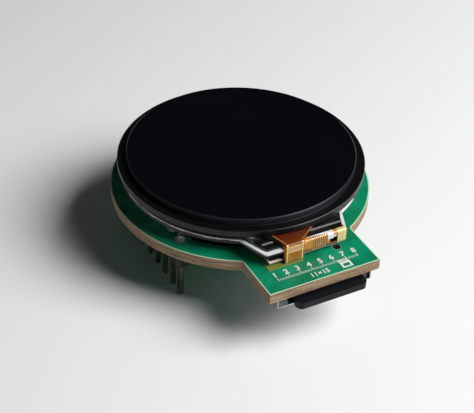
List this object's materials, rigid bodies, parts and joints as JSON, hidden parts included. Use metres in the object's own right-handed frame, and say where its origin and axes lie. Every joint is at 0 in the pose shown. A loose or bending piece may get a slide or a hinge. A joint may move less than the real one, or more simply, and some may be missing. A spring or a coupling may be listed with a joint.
{
  "type": "round tft display module",
  "caption": "Round touch display on a green carrier board, with a folded amber flex, pin headers below and a memory card in a socket under the board's tongue.",
  "frame": {"origin": "centre of the two rows of pins, on the lower seating face of the header insulators", "axes": "+Z out of the display face, -Y along the tongue to the card slot, X across the two pin rows"},
  "size_m": [0.038, 0.0452, 0.0156],
  "materials": {
    "board": "green solder mask over glass-fibre laminate",
    "solder": "bright solder",
    "header_plastic": "matt black moulding",
    "pin_metal": "gold plated pins",
    "socket_plastic": "matt black moulding",
    "socket_steel": "rolled stainless sheet",
    "gold_plate": "gold plate",
    "card_plastic": "satin black moulding",
    "foam": "black adhesive foam",
    "stiffener": "pale laminate",
    "flex_film": "amber polyimide film over copper tracks",
    "chip_plastic": "moulded epoxy",
    "white_plastic": "white reflective moulding",
    "white_film": "white film",
    "clear_plastic": "clear acrylic",
    "led_plastic": "yellow phosphor in a white case",
    "polariser": "dark polarising film",
    "panel_glass": "thin panel glass",
    "silicon": "ground silicon",
    "black_tape": "black film tape",
    "black_glass": "polished glass with a black print behind it",
    "capacitor_ceramic": "fired ceramic",
    "resistor_ceramic": "black glazed ceramic"
  },
  "bodies": {
    "module": {"pcb": "board", "solder_joints": "solder", "header_left_body": "header_plastic", "header_right_body": "header_plastic", "header_left_pins": "pin_metal", "header_right_pins": "pin_metal", "card_socket_body": "socket_plastic", "card_socket_shell": "socket_steel", "card_socket_contacts": "gold_plate", "card_detect_spring": "gold_plate", "mounting_foam": "foam", "flex_foam": "foam", "flex_stiffener": "stiffener", "display_flex": "flex_film", "flex_solder": "solder", "touch_flex": "flex_film", "touch_controller": "chip_plastic", "backlight_frame": "white_plastic", "reflector_film": "white_film", "light_guide": "clear_plastic", "diffuser_film": "white_film", "prism_film": "clear_plastic", "backlight_leds": "led_plastic", "led_strip": "flex_film", "rear_polariser": "polariser", "array_glass": "panel_glass", "color_filter_glass": "panel_glass", "front_polariser": "polariser", "driver_chip": "silicon", "light_shield_tape": "black_tape", "lens_adhesive": "clear_plastic", "touch_sensor": "black_glass", "cover_lens": "black_glass", "regulator_body": "chip_plastic", "regulator_leads": "solder", "transistor_body": "chip_plastic", "transistor_leads": "solder", "capacitors": "capacitor_ceramic", "resistors": "resistor_ceramic", "chip_terminals": "solder"},
    "card": {"memory_card": "card_plastic", "memory_card_pads": "gold_plate"}
  },
  "joints": [
    {"name": "card_slide", "type": "slide", "parent": "module", "child": "card", "axis": [0, -1, 0], "range_m": [0, 0.012]}
  ]
}
